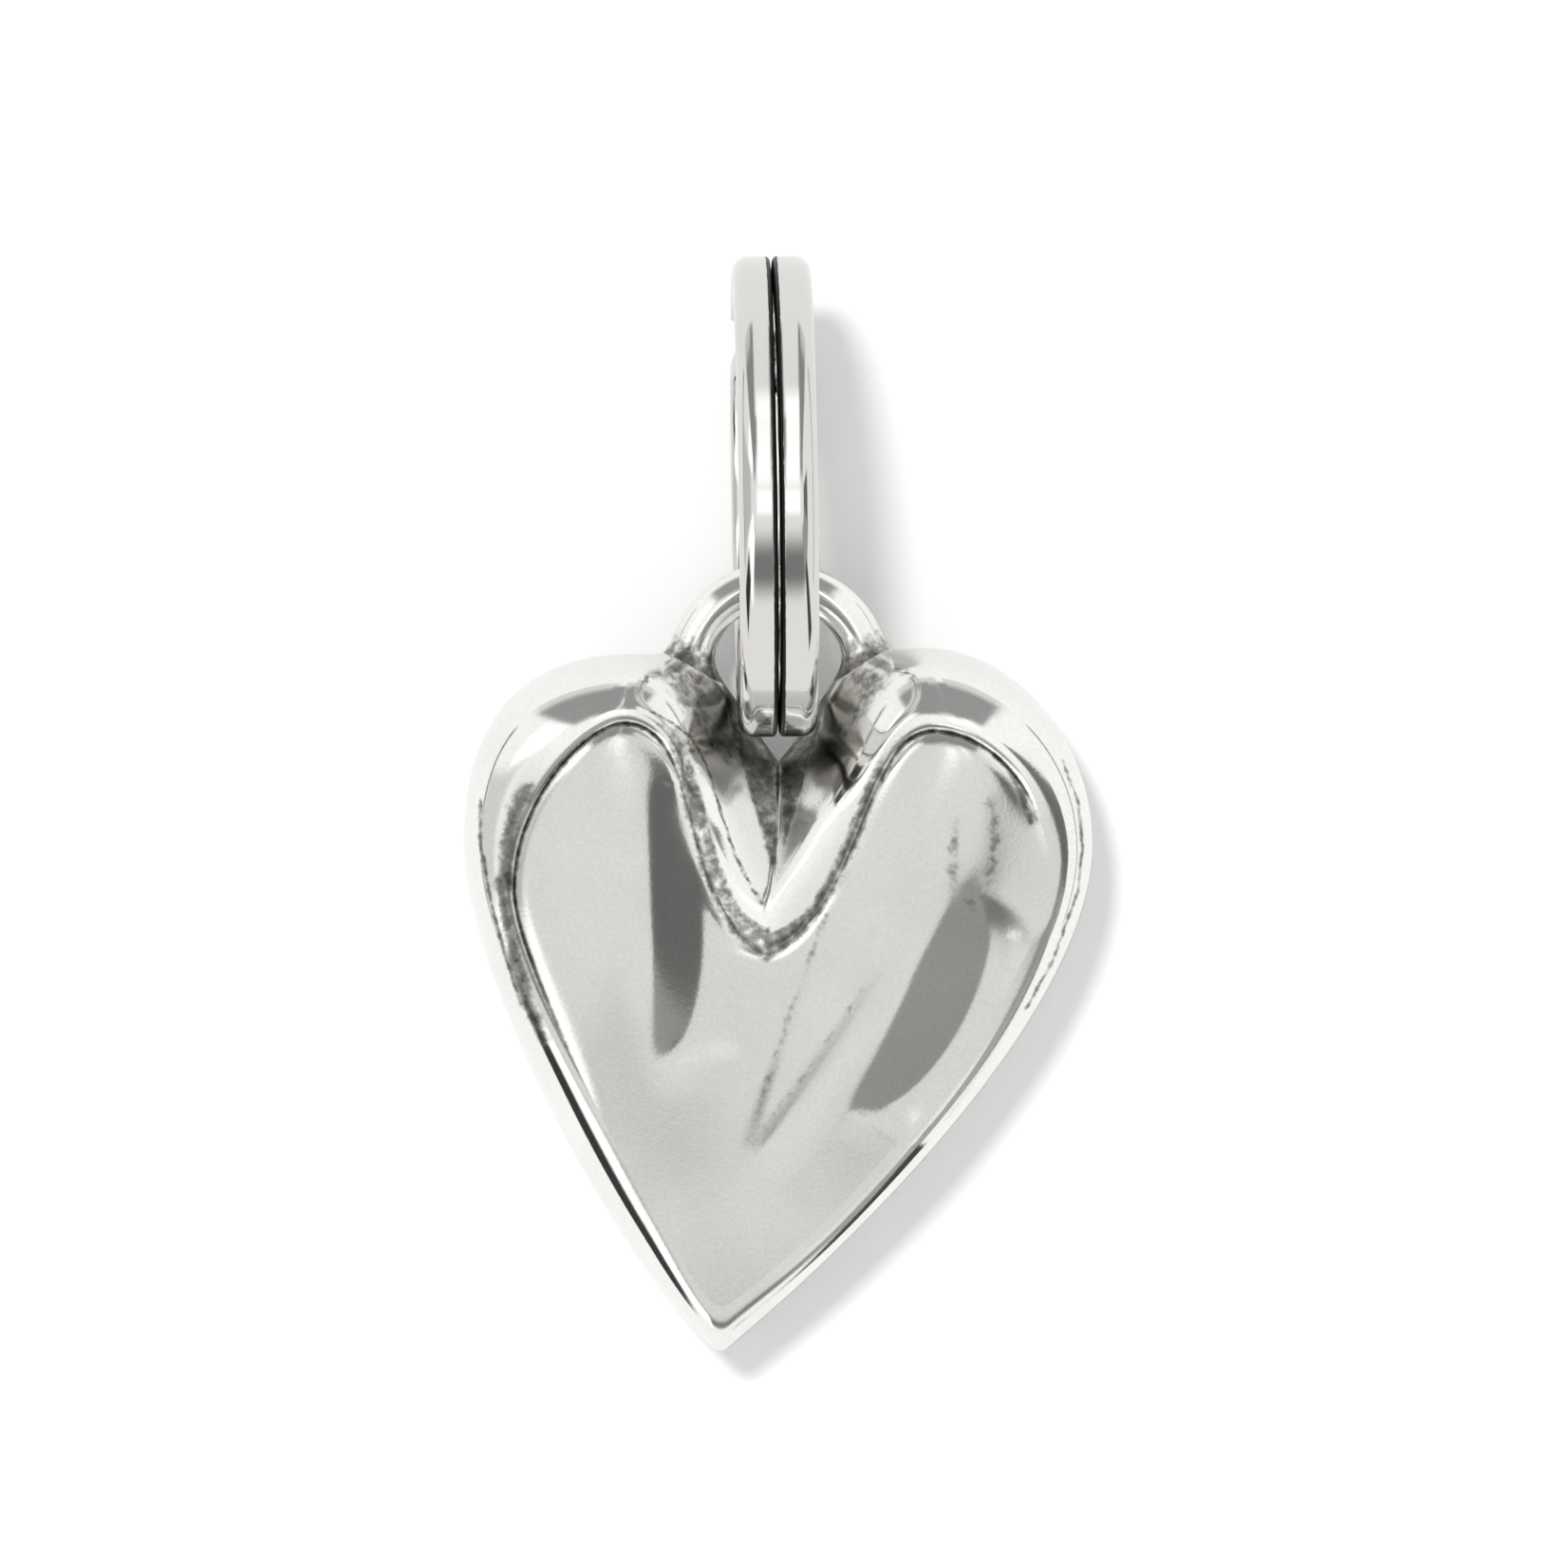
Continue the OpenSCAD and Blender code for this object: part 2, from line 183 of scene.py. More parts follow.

# Dark strokes in fine marks of the front and its shoulders, partly oxide and partly painted dark reflections
# along the folds and the sides' rolls, from the bottom of the cleft: the places that each one runs through,
# its width in millimetres and its strength
STROKES = (
    (((1.75, -2.3), (1.1, -4.1), (0.35, -6.2), (-0.35, -8.2), (-0.82, -9.6)), 0.15, 0.34),
    (((2.1, -5.7), (0.8, -7.6), (-0.65, -9.6)), 0.13, 0.31),
    (((-6.3, -0.7), (-6.6, -1.3), (-6.8, -2.4), (-6.75, -3.1)), 0.26, 0.64),
    (((-6.95, -3.0), (-6.75, -4.2), (-6.3, -5.8), (-5.9, -6.9)), 0.2, 0.66),
    (((5.35, -1.0), (5.42, -2.0), (5.3, -3.0)), 0.22, 0.4),
    (((4.4, -1.4), (4.35, -2.5), (4.4, -3.4), (5.0, -3.6)), 0.2, 0.36),
    (((-7.45, -1.0), (-7.45, -2.0), (-7.2, -3.4), (-6.85, -4.8), (-6.4, -6.2)), 0.08, 0.55),
    (((5.75, -0.2), (6.1, -0.9), (6.3, -1.5)), 0.12, 0.6),
    (((7.1, 0.0), (7.5, -1.0), (7.6, -2.1), (7.5, -3.2), (6.9, -4.9), (6.2, -6.2)), 0.07, 0.5),
    (((-3.16, 1.24), (-2.7, 0.99), (-2.19, 0.61), (-1.81, -0.03), (-1.55, -0.88), (-1.34, -1.56),
      (-1.05, -2.41), (-0.66, -3.17), (-0.32, -3.68)), 0.05, 0.62),
    (((-2.6, 2.0), (-2.1, 1.35), (-1.6, 0.75), (-1.2, 0.1)), 0.42, 0.42),
    (((2.6, 2.0), (2.1, 1.35), (1.6, 0.75)), 0.36, 0.38),
)

# Other oxide on the heart, and painted shade with oxide along the valley's bottom and round the ring's lower
# end, with a thin painted highlight streak down the valley. Strengths run from 0 to 1 and sizes are in
# millimetres, from the bottom of the cleft. A pair of widths is for the left and for the right, and any other
# pair says where a change starts and over how much
CREASE_OXIDE = dict(side_oxide=0.85, valley_oxide=0.45, width=0.07)
BAND_OXIDE = dict(oxide=0.5, widths=(0.55, 0.4), growth=1.5, grows=(3.6, 1.0), edge=0.2)
FACE_BAND_W = 0.16
# Painted shade, with oxide, along the valley's bottom below the ring's lower end
WEDGE_SHADE_AND_OXIDE = dict(oxide=0.6, middle=-0.08, spread=0.29, length=3.3, edge=0.16)
# A thin painted highlight: a streak down the valley's bottom with less of the painted shade
LIT_STREAK = dict(lightened=0.75, middle=0.04, width=0.09, starts=(0.1, 0.3))
# Painted shade, with oxide, round the ring's lower end below the ear's hole
HOLE_SHADE_AND_OXIDE = dict(oxide=0.55, middle=0.2, across=1.15, along=1.2, full=1.6, slope=1.3)
FOOT_OXIDE = dict(oxide=0.48, width=0.6)

# Buffing, from 0 to 1: of the valley's walls, of the back's roll and of the back. On the crowns it is full,
# with its middle and its reach. On the sides it ends part of the way across the roll, from a station on. On
# the front it reaches in from the crease, up to a station
WALL_BUFF = 0.35
BACK_ROLL_BUFF = 0.8
BACK_BUFF = 0.5
CROWN_BUFF_AT = -0.1
CROWN_BUFF_W = 0.4
SIDE_BUFF_ENDS = (0.55, 0.2)
SIDE_BUFF_FROM = (1.4, 0.4)
FACE_BUFF_W = 0.3
FACE_BUFF_ENDS = (2.0, 0.4)

# Mesh steps of the heart: along the three stretches of a side, round the point, across the roll and over
# each face, where they lie closer together by the crease
SIDE_STEPS = (62, 52, 72)
POINT_STEPS = 16
ROLL_STEPS = 52
FACE_STEPS = 80
BACK_FACE_STEPS = 40
FACE_CROWDING = 1.25

# Ear in millimetres and degrees: its wire, its bore, how far its centre is above the bottom of the cleft,
# how far each end wraps round below that, and how much wider its feet get
EAR_WIRE = 1.1
EAR_BORE = 3.36
EAR_RISE = 2.24
EAR_WRAP = 30
EAR_FLARE = 0.35
# Where its feet widen and darken, as shares of its length from its middle, how dark they get, and its mesh
# steps along the wire and round it
FLARE_SPAN = (0.26, 0.46)
DARK_SPAN = (0.2, 0.38)
EAR_OXIDE = 0.62
EAR_STEPS = 240
EAR_SIDES = 64

# Where each foot of the ear runs into its lobe, how far round that the meshes are joined, and the reach of
# the fillet
FOOT = (2.2, 1.9)
FEET_REACH = 2.2
FOOT_FILLET = 0.5

# Split ring in millimetres: its outside, the wire's thickness outwards and its width across, the gap between
# the turns, the wire's outer corner and its corner at the groove, and its bevel in the bore
RING_OD = 12
COIL_T = 1.1
COIL_W = 0.95
COIL_GAP = 0.06
CORNER_R = 0.42
GROOVE_R = 0.14
BORE_CHAMFER = 0.1
# The crossing's length and place and the gap between it and each cut end, in degrees round the ring
JOG_ANGLE = 26
JOG_AT = -42
END_GAP = 3
# How it lies: its lean and its turn in degrees, its shift to the left and its play in the ear in millimetres
RING_LEAN = 1.1
RING_YAW = 0.9
RING_SIDE = 0.1
LINK_GAP = 0.06
# The groove's oxide and painted shade between the turns: the share of the corner over which they come in, and
# how far up from the bore they do
GROOVE_EDGE = 0.35
BORE_CLEAR = 0.2
# Mesh steps: along the wire, round a corner of its section and along a side of it
WIRE_STEPS = 520
CORNER_STEPS = 14
SECTION_STEPS = 6

# Light: half the paper's side in metres, how much the paper is lifted for the camera, how strongly the tent
# lights all but the metal, and the key light's strength, its width and height in degrees, and where it comes
# from
PAPER_HALF = 1.5
PAPER_LIFT = 0.1
TENT_LIGHT = 0.62
KEY_LIGHT = 1.24
KEY_WIDTH = 7
KEY_ELEVATION = 74
KEY_FROM = (-0.6, 0.8)

# The tent's panels from the nearest out: name, reach off the vertical, reach around, glow, where 1 is white,
# the degrees over which its borders fade, and whether it is a strip over the ring
CARDS = (
    ("strip_softbox", (0, 55), (0, 4.2), 1.6, (12, 1), True),
    ("strip_paper", (36, 100), (-2.5, 3.6), 1.0, (4, 1), True),
    ("black_horizon_left", (84, 98), (140, 200), 0.15, (4, 4), False),
    ("key_softbox", (22, 52), (132, 160), 1.6, (5, 6), False),
    ("black_flag_low_left", (48, 112), (202, 226), 0.04, (12, 4), False),
    ("key_softbox_low", (19, 62), (196, 244), 1.6, (4, 5), False),
    ("black_flag_low_right", (38, 112), (-58, -38), 0.06, (6, 4), False),
    ("black_flag_right", (15, 42), (-17, 20), 0.17, (2, 2), False),
    ("grey_flag_right", (15, 46), (-66, -12), 0.4, (3, 3), False),
    ("grey_flag_front", (12, 54), (-140, -50), 0.24, (17, 17), False),
    ("grey_cloth_left", (26, 94), (156, 200), 0.66, (14, 8), False),
    ("black_horizon_right", (84, 98), (-24, 44), 0.25, (4, 4), False),
    ("black_flag_back", (12, 84), (54, 132), 0.32, (14, 4), False),
    ("grey_cloth_back", (50, 98), (50, 134), 0.72, (8, 8), False),
)
# Small panels close over the charm: two flags keep the strips out of the lobes, and one strip is for the
# ring only
CLOSE_CARDS = (
    ("flag_over_left_lobe", (14, 78), (-10, -1.9), 0.32, (7, 1), True),
    ("flag_over_right_lobe", (14, 78), (2.7, 10), 0.32, (7, 1), True),
    ("strip_over_ring", (1.6, 14), (-1.4, 3.8), 1.6, (4, 1), True),
)
# Distance of the nearest panel of each kind and the step from one to the next, in millimetres, and the mesh
# steps of each panel
CARDS_AT = (300, 10)
CLOSE_CARDS_AT = (40, 1)
CARD_STEPS = (32, 48)


def linear(code):
    """An sRGB hex colour as linear red, green, blue and alpha."""
    parts = [int(code[k:k + 2], 16) / 255 for k in (1, 3, 5)]
    return [c / 12.92 if c <= 0.04045 else ((c + 0.055) / 1.055) ** 2.4 for c in parts] + [1.0]


def at_pixel(px, py):
    """The place in the frame under a pixel of the photograph, in metres."""
    return np.array([px - ORIGIN_PX[0], ORIGIN_PX[1] - py]) * PIXEL


def mix(a, b, t):
    """From a at t = 0 to b at t = 1."""
    return a + (b - a) * t


def ease(t):
    """0 up to t = 0 and 1 from t = 1 on, with a soft start and a soft end."""
    c = np.clip(t, 0, 1)
    return c * c * (3 - 2 * c)


def rise(x, start, over):
    """0 up to the start and 1 past it, with the change eased over the distance given."""
    return ease((x - start) / over)


def fall(x, end, over):
    """0 from the end on and 1 before it, with the change eased over the distance given."""
    return ease((end - x) / over)


def bell(x, width):
    """1 at x = 0, and softly down to 0 on both sides, over about twice the width."""
    return np.exp(-(x / width) ** 2)


def node(tree, kind, inputs=None, **settings):
    """Adds a node. inputs gives sockets, by name or number, a value or the output that feeds them."""
    made = tree.nodes.new(kind)
    for name, value in settings.items():
        setattr(made, name, value)
    for key, value in (inputs or {}).items():
        if isinstance(value, bpy.types.NodeSocket):
            tree.links.new(value, made.inputs[key])
        else:
            made.inputs[key].default_value = value
    return made


def new_mesh(name, points, faces, attributes=None):
    """A smooth mesh object at the origin, from points in metres, with attributes, a value per point."""
    mesh = bpy.data.meshes.new(name)
    mesh.from_pydata([tuple(p) for p in points], [], faces)
    mesh.shade_smooth()
    for key, values in (attributes or {}).items():
        kind = "FLOAT" if np.ndim(values) == 1 else "FLOAT_VECTOR"
        field = "value" if kind == "FLOAT" else "vector"
        made = mesh.attributes.new(key, kind, "POINT")
        made.data.foreach_set(field, np.asarray(values, np.float32).ravel())
    made = bpy.data.objects.new(name, mesh)
    bpy.context.scene.collection.objects.link(made)
    return made


# Camera

def make_camera():
    """A long lens straight above the table, with the photograph's frame."""
    centre = at_pixel(PHOTO_SIDE / 2, PHOTO_SIDE / 2)
    data = bpy.data.cameras.new("camera")
    data.sensor_width = FILM_W
    data.lens = data.sensor_width * (CAMERA_HEIGHT - FOCUS_HEIGHT) / (PHOTO_SIDE * PIXEL)
    data.clip_start = NEAREST
    camera = bpy.data.objects.new("camera", data)
    camera.location = (centre[0], centre[1], CAMERA_HEIGHT)
    bpy.context.scene.collection.objects.link(camera)
    bpy.context.scene.camera = camera


# Heart outline

def cubic(a, b, c, d, steps):
    """Places along a curve from a to d with its handles at b and c, without the last one."""
    t = (np.arange(steps) / steps)[:, None]
    return (1 - t) ** 3 * a + 3 * (1 - t) ** 2 * t * b + 3 * (1 - t) * t * t * c + t ** 3 * d


def arrival(sign, turn):
    """The direction in which a side comes to the point."""
    return np.array([-sign * math.sin(math.radians(turn)), -math.cos(math.radians(turn))])


def side_points(side, end):
    """One side of the outline or of the crease, from the cleft to the start of the point's rounding."""
    sign, pull = side["sign"], side["pull"]
    start, top, wide, end = (np.array(p, float) for p in (side["start"], side["top"], side["wide"], end))
    leave = math.radians(side["turns"][0])
    arrive = arrival(sign, side["turns"][1])
    over, down = np.array([sign, 0.0]), np.array([0.0, -1.0])
    span = np.linalg.norm(top - start)
    last = end - POINT_ROUND * arrive
    reach = wide[1] - last[1]
    return np.concatenate([
        cubic(start, start + pull[0] * span * np.array([sign * math.sin(leave), math.cos(leave)]),
              top - pull[1] * span * over, top, SIDE_STEPS[0]),
        cubic(top, top + pull[2] * abs(wide[0] - top[0]) * over,
              wide - pull[3] * abs(wide[1] - top[1]) * down, wide, SIDE_STEPS[1]),
        cubic(wide, wide + pull[4] * reach * down, last - pull[5] * reach * arrive, last, SIDE_STEPS[2]),
    ])


def closed_outline(left, right, end):
    """The left side, the rounded point and the right side run back, counterclockwise as seen from above."""
    end = np.array(end, float)
    a = end - POINT_ROUND * arrival(-1, left["turns"][1])
    b = end - POINT_ROUND * arrival(1, right["turns"][1])
    t = np.linspace(0, 1, POINT_STEPS + 1)[:, None]
    point = (1 - t) ** 2 * a + 2 * t * (1 - t) * end + t * t * b
    return np.concatenate([side_points(left, end), point, side_points(right, end)[:0:-1]])


def stations():
    """How far along its side each outline point is, from 0 at the cleft to 3 at the point."""
    side = np.concatenate([part + np.arange(steps) / steps for part, steps in enumerate(SIDE_STEPS)])
    return np.concatenate([side, np.full(POINT_STEPS + 1, 3.0), side[:0:-1]])


# Heart relief, at places measured from the bottom of the cleft

def swell(p, axis):
    """The share of a lobe's swell at each place."""
    a, b = (np.array(end) for end in axis)
    s = (p - a) @ (b - a) / ((b - a) @ (b - a))
    off = np.linalg.norm(p - (a + s[..., None] * (b - a)), axis=-1)
    return bell(off, SWELL_W) * rise(s, *SWELL_START) * fall(s, *SWELL_END)


def ramp(d, width):
    """0 before d = 0, rises at slope 1 over the width and stays, with both bends rounded."""
    return FOLD_BLUR * (np.logaddexp(0, d / FOLD_BLUR) - np.logaddexp(0, (d - width) / FOLD_BLUR))


def flank(p, top, tip, width, slope, recovery, taper):
    """A fall to the right of the line from top to tip, over a leaf of that width, that comes back over the
    recovery."""
    top, tip = np.array(top), np.array(tip)
    length = np.linalg.norm(tip - top)
    along = (tip - top) / length
    aside = np.array([-along[1], along[0]])
    u = (p - top) @ along / length
    d = (p - top) @ aside
    leaf = width * np.sqrt(np.clip(4 * u * (1 - u), LEAST_LEAF, 1))
    share = rise(u, -taper / 2, taper) * fall(u, 1 + taper / 2, taper)
    return -slope * share * (ramp(d, leaf) - leaf * ease((d - leaf) / recovery))


def front_face(p):
    """Height of the front above the edge line."""
    height = FRONT_H - FRONT_FALL * (np.maximum(0, -p[..., 1]) / -POINT[1]) ** 2
    height = height + SWELL_H * (swell(p, LEFT_AXIS) + swell(p, RIGHT_AXIS))
    return height + sum(flank(p, **fold) for fold in FOLDS)


def back_face(p):
    """Depth of the back below the edge line."""
    return EDGE_H - BACK_LIFT * np.clip(-p[..., 1] / -POINT[1] * 2 - 1, 0, 1) ** 2


def valley_half(p):
    """Half the valley's width between its crowns: it closes at the foot and opens towards the lobes."""
    return VALLEY_SPREAD * (VALLEY_FOOT + p[..., 1])


def valley_off(p):
    """How far each place is from the valley's bottom line, which bends to the left as it runs down. It counts
    less on the left, where the wall bulges and is gentler."""
    off = p[..., 0] - VALLEY_BEND * np.clip(-p[..., 1] / VALLEY_FOOT, 0, 1) ** 3
    up = np.maximum(VALLEY_FOOT + p[..., 1], LEAST_UP)
    bulge = LEFT_BULGE * (1 - np.exp(-up / BULGE_GROWTH)) * np.clip(1 - up / BULGE_END, 0, 1)
    return np.abs(off) * np.where(off < 0, VALLEY_SPREAD * up / (VALLEY_SPREAD * up + bulge), 1)


def groove(p):
    """Depth of the V-shaped valley below the front, with rounded crowns."""
    inside = valley_half(p) - valley_off(p)
    slope = mix(FOOT_SLOPE, VALLEY_SLOPE, ease(1 + p[..., 1] / VALLEY_FOOT))
    ridge = RIDGE_H * bell(inside, RIDGE_W) * ease(-p[..., 1] / RIDGE_FULL)
    return slope * CROWN_BLUR * np.logaddexp(0, inside / CROWN_BLUR) - ridge


def roundness(q):
    """How far the roll follows the loft at each station: 0 in the valley and 1 from the lobe's top on."""
    return ease(ROUND_RATE * np.minimum(q, 1))


def roll_power(q, left):
    """Power of the roll's curve: a near-ellipse over the lobes, a squarer shoulder along the sides, and on
    the lower sides a rounder one on the left and a squarer one on the right."""
    power = mix(mix(2, TOP_POWER, roundness(q)), SIDE_POWER, rise(q, *ROLL_SQUARES))
    return power + np.where(left, *LOW_POWERS) * rise(q, *LOW_STARTS) * fall(q, *LOW_ENDS)


def roll_curve(t, power):
    """Height of the roll, from 0 at the outline to 1 at the crease."""
    return (1 - (1 - t) ** power) ** (1 / power)


def crease_share(q, left):
    """How deep the crease is at each station: it fades out along the sides, sooner on the right."""
    return 1 - rise(q, np.where(left, *CREASE_FADES), np.where(left, *CREASE_FADE_OVER))


def distance(points, line, closed=True):
    """The distance of each point from a line through the places given, closed or open."""
    along = np.roll(line, -1, axis=0) - line
    square = np.maximum((along ** 2).sum(1), 1e-12)
    best = np.full(len(points), np.inf)
    last = len(line) if closed else len(line) - 1
    for a, d, s in zip(line[:last], along, square):
        t = np.clip((points - a) @ d / s, 0, 1)
        best = np.minimum(best, ((points - a - t[:, None] * d) ** 2).sum(1))
    return np.sqrt(best)


# Oxide and buffing of the heart

def strokes(p):
    """How dark the strokes make each place: oxide, and painted dark reflections along the folds and the sides'
    rolls.
    """
    found = np.zeros(len(p))
    for places, width, strength in STROKES:
        away = distance(p, np.array(places), closed=False)
        found = np.maximum(found, strength * bell(away, width))
    return found


def crease_oxide(away, valley, side_oxide, valley_oxide, width):
    """Oxide in the crease, less of it in the valley."""
    return mix(side_oxide, valley_oxide, valley) * bell(away, width)


def band_oxide(p, away, left, oxide, widths, growth, grows, edge):
    """Oxide on the roll beside the crease in the valley, over a band that widens towards the foot."""
    width = np.where(left, *widths) * mix(1, growth, rise(-p[:, 1], *grows))
    return oxide * fall(away, width, edge)


def wedge_oxide(p, oxide, middle, spread, length, edge):
    """Painted shade and oxide along the valley's bottom, over a wedge that is widest by the ring's lower end
    and closes towards the foot.
    """
    return oxide * fall(np.abs(p[:, 0] - middle), spread * (length + p[:, 1]), edge)


def clean_streak(p, lightened, middle, width, starts):
    """What stays of the wedge's painted shade and oxide: less along a thin streak, a painted highlight down
    the valley's bottom.
    """
    return 1 - lightened * bell(p[:, 0] - middle, width) * rise(-p[:, 1], *starts)


def hole_oxide(p, oxide, middle, across, along, full, slope):
    """Painted shade and oxide below the ear's hole, round the ring's lower end, over an oval."""
    return oxide * ease(full - slope * np.hypot(p[:, 0] / across, (p[:, 1] - middle) / along))


def off_foot(p):
    """How far each place is from the nearer foot of the ear."""
    return np.hypot(np.abs(p[:, 0]) - FOOT[0], p[:, 1] - FOOT[1])


def foot_oxide(p, oxide, width):
    """Oxide round the ear's feet."""
    return oxide * bell(off_foot(p), width)


def roll_buff(p, t, q, valley):
    """How far the roll is buffed: fully on the valley's crowns and on the outer part of the sides."""
    crown = bell(valley_half(p) - valley_off(p) - CROWN_BUFF_AT, CROWN_BUFF_W)
    side = 1 - rise(t, *SIDE_BUFF_ENDS) * rise(q, *SIDE_BUFF_FROM)
    return mix(side, mix(WALL_BUFF, 1, crown), valley)


# Heart

def roll_shares():
    """How far across the roll each of its rows is, closer together at both borders."""
    return [0.5 - 0.5 * math.cos(math.pi * k / ROLL_STEPS) for k in range(ROLL_STEPS + 1)]


def face_shares(steps):
    """How far from the crease to the face's middle each of its rows is."""
    return [(k / steps) ** FACE_CROWDING for k in range(1, steps)]


def front_rows(outline, crease, q, left):
    """The rows of the front, from the outline inwards: their places, heights, oxide with painted shade, and
    buffing.
    """
    gap = np.linalg.norm(crease - outline, axis=1)
    share = crease_share(q, left)
    valley = fall(q, *VALLEY_ENDS)
    power = roll_power(q, left)
    rows = []
    for t in roll_shares():
        p = mix(outline, crease, t)
        away = distance(p, crease)
        edge = np.minimum(distance(p, outline) / mix(VALLEY_ROLL, gap, roundness(q)), 1) if t < 1 else 1.0
        height = mix(roll_curve(edge, power), roll_curve(t, power), roundness(q))
        dip = CREASE_D * share * np.exp(-away / CREASE_W)
        z = EDGE_H + (front_face(crease) - groove(p) - dip) * height
        # Oxide, with painted shade along the valley's bottom and round the ring's lower end, a painted
        # highlight streak, and strokes that partly paint dark reflections
        oxide = np.max([
            share * crease_oxide(away, valley, **CREASE_OXIDE),
            share * valley * band_oxide(p, away, left, **BAND_OXIDE),
            valley * wedge_oxide(p, **WEDGE_SHADE_AND_OXIDE) * clean_streak(p, **LIT_STREAK),
            hole_oxide(p, **HOLE_SHADE_AND_OXIDE),
            foot_oxide(p, **FOOT_OXIDE),
            strokes(p),
        ], axis=0)
        rows.append((p, z, oxide, roll_buff(p, t, q, valley)))
    for t in face_shares(FACE_STEPS):
        p = mix(crease, np.array(FACE_CENTRE), t)
        away = distance(p, crease)
        z = EDGE_H + front_face(p) - groove(p) - CREASE_D * share * np.exp(-away / CREASE_W)
        # Oxide, and strokes that partly paint dark reflections
        oxide = np.max([
            share * crease_oxide(away, valley, **CREASE_OXIDE),
            share * valley * BAND_OXIDE["oxide"] * bell(away, FACE_BAND_W),
            strokes(p),
        ], axis=0)
        rows.append((p, z, oxide, fall(away, FACE_BUFF_W, FACE_BUFF_W) * fall(q, *FACE_BUFF_ENDS)))
    return rows


def back_rows(outline, crease, q):
    """The rows of the back, from the outline inwards, in the same way. It has no oxide."""
    clean = 0 * q
    rows = []
    for t in roll_shares():
        depth = mix(1 - (1 - t) ** BACK_POWER, roll_curve(t, 2), roundness(q))
        z = EDGE_H - back_face(crease) * depth
        rows.append((mix(outline, crease, t), z, clean, clean + BACK_ROLL_BUFF))
    for t in face_shares(BACK_FACE_STEPS):
        p = mix(crease, np.array(FACE_CENTRE), t)
        rows.append((p, EDGE_H - back_face(p), clean, clean + BACK_BUFF))
    return rows


def make_heart(outline):
    """The cast body of the heart, lofted from its outline over the roll and the crease to the middle of each
    face."""
    crease = closed_outline(LEFT_CREASE, RIGHT_CREASE, INNER_POINT)
    q = stations()
    n = len(q)
    left = np.arange(n) < n / 2
    front = front_rows(outline, crease, q, left)
    # The back's first row is the outline again
    rows = front + back_rows(outline, crease, q)[1:]
    centre = np.array([FACE_CENTRE])
    front_pole = (centre, EDGE_H + front_face(centre), [0.0], [0.0])
    back_pole = (centre, EDGE_H - back_face(centre), [0.0], [BACK_BUFF])
    xy, z, oxide_and_shade, buff = (np.concatenate(part) for part in zip(*rows, front_pole, back_pole))
    points = np.column_stack([xy[:, 0], xy[:, 1] + cleft_y, z]) * MM
    i = np.arange(n)
    j = (i + 1) % n
    deep, total = len(front), len(rows)
    pole = n * total
    faces = []
    for k in range(deep - 1):
        faces += np.column_stack([k * n + i, k * n + j, (k + 1) * n + j, (k + 1) * n + i]).tolist()
    for a, b in [(0, deep)] + [(k, k + 1) for k in range(deep, total - 1)]:
        faces += np.column_stack([a * n + i, b * n + i, b * n + j, a * n + j]).tolist()
    faces += np.column_stack([(deep - 1) * n + i, (deep - 1) * n + j, np.full(n, pole)]).tolist()
    faces += np.column_stack([(total - 1) * n + j, (total - 1) * n + i, np.full(n, pole + 1)]).tolist()
    return new_mesh("heart_body", points, faces, {"oxide_and_shade": oxide_and_shade, "buff": buff})


# Geometry Nodes

def node_group(name, inputs):
    """A Geometry Nodes tree with a geometry input, and named inputs for its sizes."""
    tree = bpy.data.node_groups.new(name, "GeometryNodeTree")
    tree.interface.new_socket("Geometry", in_out="INPUT", socket_type="NodeSocketGeometry")
    tree.interface.new_socket("Geometry", in_out="OUTPUT", socket_type="NodeSocketGeometry")
    kinds = {"float": "Float", "tuple": "Vector", "Material": "Material"}
    for key, value in inputs.items():
        kind = kinds[type(value).__name__]
        tree.interface.new_socket(key, in_out="INPUT", socket_type="NodeSocket" + kind)
    return tree, tree.nodes.new("NodeGroupInput"), tree.nodes.new("NodeGroupOutput")


def run_group(source, tree, inputs, name):
    """Runs the tree on the source object and gives the result as a plain mesh object in place of it."""
    modifier = source.modifiers.new(tree.name, "NODES")
    modifier.node_group = tree
    sockets = {item.name: item.identifier for item in tree.interface.items_tree if item.in_out == "INPUT"}
    for key, value in inputs.items():
        modifier[sockets[key]] = value
    graph = bpy.context.evaluated_depsgraph_get()
    mesh = bpy.data.meshes.new_from_object(source.evaluated_get(graph), depsgraph=graph)
    source.modifiers.remove(modifier)
    bpy.data.objects.remove(source)
    mesh.shade_smooth()
    made = bpy.data.objects.new(name, mesh)
    bpy.context.scene.collection.objects.link(made)
    return made


def finish_group(tree, geometry, material, out):
    """Ends a tree: its geometry is made real and given its finish."""
    realized = node(tree, "GeometryNodeRealizeInstances", {"Geometry": geometry})
    finished = node(tree, "GeometryNodeSetMaterial", {"Geometry": realized.outputs[0], "Material": material})
    tree.links.new(finished.outputs[0], out.inputs[0])


# Ear

